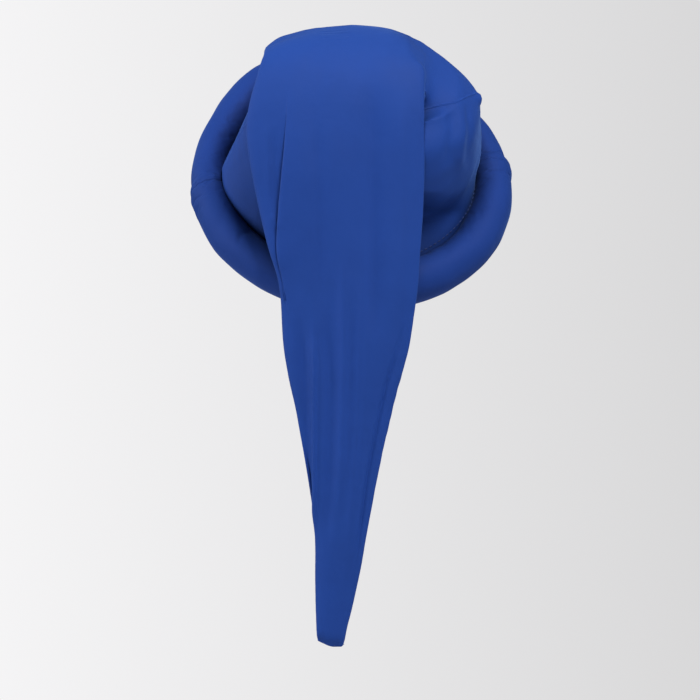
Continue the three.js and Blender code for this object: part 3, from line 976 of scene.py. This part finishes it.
def shade_group():
    """Uneven dye and wear: the cloth's colour, a little lighter and darker from place to place"""
    group, inside, outside = new_group(
        "Dyed cloth",
        (
            ("Colour", "NodeSocketColor", (0.5, 0.5, 0.5, 1)),
            ("Patch size", "NodeSocketFloat", 14.0),
            ("Change", "NodeSocketFloat", 0.12),
        ),
        (("Colour", "NodeSocketColor"), ("Patch", "NodeSocketFloat")),
    )
    place = add_node(group, "ShaderNodeTexCoord").outputs["Object"]
    patch = add_node(
        group,
        "ShaderNodeTexNoise",
        {"Vector": place, "Scale": inside.outputs["Patch size"], "Detail": 5.0, "Roughness": 0.55},
    )
    centred = math_node(group, "SUBTRACT", patch.outputs["Fac"], 0.5)
    change = math_node(group, "MULTIPLY", centred, inside.outputs["Change"])
    value = math_node(group, "ADD", math_node(group, "MULTIPLY", change, 2.0), 1.0)
    tinted = add_node(
        group, "ShaderNodeHueSaturation", {"Color": inside.outputs["Colour"], "Value": value}
    )
    group.links.new(tinted.outputs["Color"], outside.inputs["Colour"])
    group.links.new(patch.outputs["Fac"], outside.inputs["Patch"])
    return group


def painted_fold_shade_group():
    """Share of the colour that is left under the painted shade in deep folds, where other surfaces are
    near
    """
    group, inside, outside = new_group(
        "Painted fold shade",
        (("Reach", "NodeSocketFloat", FOLD_SHADE_REACH), ("Left", "NodeSocketFloat", FOLD_SHADE_LEFT)),
        (("Share", "NodeSocketFloat"),),
    )
    reach = {"Distance": inside.outputs["Reach"]}
    # Painted shade: how open each place is to its surroundings, which then darkens the cloth's colour
    openness = add_node(group, "ShaderNodeAmbientOcclusion", reach, samples=FOLD_SHADE_SAMPLES)
    share = map_range(group, openness.outputs["AO"], FOLD_SHADE_OPENNESS, (inside.outputs["Left"], 1.0))
    group.links.new(share, outside.inputs["Share"])
    return group


def use_group(tree, name, build, inputs):
    """A node for a shared group, which is built the first time that it is asked for"""
    group = bpy.data.node_groups.get(name) or build()
    return add_node(tree, "ShaderNodeGroup", inputs, node_tree=group)


def cloth_material(name, colour, sizes, roughness, sheen):
    """Smooth woven cloth with a faint sheen, and painted shade that darkens its colour and sheen in
    deep folds
    """
    material, tree, shader = new_material(name)
    weave = use_group(tree, "Plain weave", weave_group, {"Pitch": sizes.thread_pitch, "Slub": 0.6})
    dyed = {"Colour": colour, "Patch size": 16.0, "Change": 0.10}
    dye = use_group(tree, "Dyed cloth", shade_group, dyed)
    # Painted shade: the colour and the sheen are darkened in deep folds and recesses
    depth = use_group(tree, "Painted fold shade", painted_fold_shade_group, {"Reach": FOLD_SHADE_REACH, "Left": FOLD_SHADE_LEFT})
    threads = map_range(tree, weave.outputs["Height"], (0.0, 1.0), (0.93, 1.05))
    value = math_node(tree, "MULTIPLY", threads, depth.outputs["Share"])
    lit = add_node(tree, "ShaderNodeHueSaturation", {"Color": dye.outputs["Colour"], "Value": value})
    near = (roughness - ROUGHNESS_CHANGE, roughness + ROUGHNESS_CHANGE)
    rough = map_range(tree, dye.outputs["Patch"], (0.0, 1.0), near)
    place = add_node(tree, "ShaderNodeTexCoord").outputs["Object"]
    creases = add_node(
        tree,
        "ShaderNodeTexNoise",
        {"Vector": place, "Scale": 70.0, "Detail": 3.0, "Roughness": 0.5, "Distortion": 0.4},
    )
    soft = add_node(
        tree,
        "ShaderNodeBump",
        {"Height": creases.outputs["Fac"], "Strength": 0.10, "Distance": 0.004},
    )
    bump = add_node(
        tree,
        "ShaderNodeBump",
        {
            "Height": weave.outputs["Height"],
            "Strength": 0.35,
            "Distance": 0.00012,
            "Normal": soft.outputs["Normal"],
        },
    )
    tree.links.new(lit.outputs["Color"], shader.inputs["Base Color"])
    tree.links.new(rough, shader.inputs["Roughness"])
    tree.links.new(bump.outputs["Normal"], shader.inputs["Normal"])
    shader.inputs["Specular IOR Level"].default_value = 0.18
    # The painted fold shade also takes the sheen away in deep folds
    shine = math_node(tree, "MULTIPLY", depth.outputs["Share"], sheen)
    tree.links.new(shine, shader.inputs["Sheen Weight"])
    shader.inputs["Sheen Roughness"].default_value = 0.35
    shader.inputs["Sheen Tint"].default_value = (0.20, 0.42, 1.0, 1)
    return material


def thread_material(colour):
    """Sewing thread: a darker blue than the cloth, as painted shade for the groove where the seam lies,
    with less sheen
    """
    material, tree, shader = new_material("sewing_thread")
    dyed = {"Colour": colour, "Patch size": 300.0, "Change": 0.25}
    dye = use_group(tree, "Dyed cloth", shade_group, dyed)
    tree.links.new(dye.outputs["Colour"], shader.inputs["Base Color"])
    shader.inputs["Roughness"].default_value = 0.7
    shader.inputs["Sheen Weight"].default_value = 0.05
    return material


def room_world():
    """A pale room: brighter above than below, and a pale backdrop with painted light, brighter towards
    one side
    """
    world = bpy.data.worlds.new("pale_room")
    world.use_nodes = True
    tree = world.node_tree
    way = add_node(tree, "ShaderNodeSeparateXYZ")
    tree.links.new(add_node(tree, "ShaderNodeTexCoord").outputs["Generated"], way.inputs["Vector"])
    room = map_range(tree, way.outputs["Z"], (-1.0, 1.0), (0.16, 0.17))
    # Painted light: the backdrop that the camera sees is brighter towards one side
    backdrop = map_range(tree, way.outputs["X"], (-0.13, 0.13), (0.69, 0.92))
    seen = add_node(tree, "ShaderNodeLightPath").outputs["Is Camera Ray"]
    light = add_node(tree, "ShaderNodeMix", {"Factor": seen, "A": room, "B": backdrop})
    tree.links.new(light.outputs["Result"], tree.nodes["Background"].inputs["Strength"])
    tree.nodes["Background"].inputs["Color"].default_value = (0.995, 0.99, 1.0, 1)
    return world


class HAT_OT_make_roll(bpy.types.Operator):
    """Make the two stuffed lengths of the roll round the head opening"""

    bl_idname = "hat.make_roll"
    bl_label = "Make Roll"

    def execute(self, context):
        sizes = context.scene.hat_sizes
        material = cloth_material("roll_cloth", context.scene.hat_colours.roll, sizes, 0.74, 0.22)
        lengths = (
            ("roll_front_cloth", "roll_front", JOIN_RIGHT, JOIN_LEFT, (FAINT_JOIN, JOIN_ABOVE)),
            ("roll_back_cloth", "roll_back", JOIN_LEFT, JOIN_RIGHT + 360, (JOIN_BELOW, FAINT_JOIN)),
        )
        for name, node, start, end, joins in lengths:
            piece = roll_object(name, sizes, start, end, joins)
            stuff_roll(piece)
            piece.data.materials.append(material)
            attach(piece, BODY)
            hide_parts(node)
        return {"FINISHED"}


class HAT_OT_make_panels(bpy.types.Operator):
    """Make the front and back cloth panels of the crown and tail, and the seam's stitches"""

    bl_idname = "hat.make_panels"
    bl_label = "Make Panels"

    def execute(self, context):
        sizes = context.scene.hat_sizes
        colours = context.scene.hat_colours
        grid, normals, columns_front = cone_grid(sizes)
        inside = grid - normals * (sizes.cloth_thickness / MM)
        material = cloth_material("crown_cloth", colours.crown, sizes, 0.70, 0.25)
        around = grid.shape[1]
        front = np.arange(columns_front)
        back = np.concatenate([np.arange(columns_front - 1, around), [0]])
        panels = (
            ("front_panel_cloth", "front_panel", front, (0.34, 0.72), 0.110),
            ("back_panel_cloth", "back_panel", back, (0.36, 0.60), 0.082),
        )
        for name, node, columns, flat, area in panels:
            piece = sheet_object(name, grid[:, columns], inside[:, columns])
            piece.data.materials.append(material)
            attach(piece, BODY)
            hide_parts(node)
        path, out = grid[STITCH_ROW], normals[STITCH_ROW]
        places, quads = stitch_row(path, out, sizes.stitch_length / MM, STITCH_GAP, STITCH_RADIUS)
        stitches = make_object("rim_stitches", places, quads)
        stitches.data.materials.append(thread_material(colours.thread))
        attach(stitches, BODY)
        return {"FINISHED"}


class HAT_OT_make_stage(bpy.types.Operator):
    """Make the pale floor, the soft lights and the camera behind the hat"""

    bl_idname = "hat.make_stage"
    bl_label = "Make Stage"

    def execute(self, context):
        scene = context.scene
        bpy.ops.mesh.primitive_circle_add(
            vertices=96, radius=3.0, fill_type="NGON", location=(0, 0, -0.95)
        )
        floor = context.active_object
        floor.name = "pale_floor"
        material, _, shader = new_material("pale_floor")
        shader.inputs["Base Color"].default_value = scene.hat_colours.floor
        shader.inputs["Roughness"].default_value = 0.9
        floor.data.materials.append(material)

        scene.world = room_world()

        for name, place, size, power in LAMPS:
            light = bpy.data.lights.new(name, "AREA")
            light.size = size
            light.energy = power
            lamp = bpy.data.objects.new(name, light)
            lamp.location = place
            way = Vector(LAMP_AIM) - Vector(place)
            lamp.rotation_euler = way.to_track_quat("-Z", "Y").to_euler()
            lamp.visible_camera = False
            context.collection.objects.link(lamp)

        camera = bpy.data.objects.new("camera", bpy.data.cameras.new("camera"))
        camera.data.lens = 142.86
        camera.data.sensor_width = 36
        camera.location = (0.00074, 2.5, -0.1501)
        camera.rotation_euler = (math.radians(90), 0, math.radians(180))
        context.collection.objects.link(camera)
        scene.camera = camera
        scene.view_settings.view_transform = "Standard"
        return {"FINISHED"}


class HAT_PT_panel(bpy.types.Panel):
    """Lists the hat's sizes, colours and operators"""

    bl_idname = "HAT_PT_panel"
    bl_label = "Elf Hat"
    bl_space_type = "VIEW_3D"
    bl_region_type = "UI"
    bl_category = "Elf Hat"

    def draw(self, context):
        for group in (context.scene.hat_sizes, context.scene.hat_colours):
            box = self.layout.box()
            for name in group.__annotations__:
                box.prop(group, name)
        for operator in OPERATORS:
            self.layout.operator(operator.bl_idname)


OPERATORS = (HAT_OT_make_stage, HAT_OT_make_roll, HAT_OT_make_panels)
CLASSES = (HatSizes, HatColours, *OPERATORS, HAT_PT_panel)


def register():
    for cls in CLASSES:
        bpy.utils.register_class(cls)
    bpy.types.Scene.hat_sizes = bpy.props.PointerProperty(type=HatSizes)
    bpy.types.Scene.hat_colours = bpy.props.PointerProperty(type=HatColours)


def unregister():
    del bpy.types.Scene.hat_colours
    del bpy.types.Scene.hat_sizes
    for cls in reversed(CLASSES):
        bpy.utils.unregister_class(cls)


def main():
    register()
    bpy.ops.hat.make_stage()
    bpy.ops.hat.make_roll()
    bpy.ops.hat.make_panels()


if __name__ == "__main__":
    main()
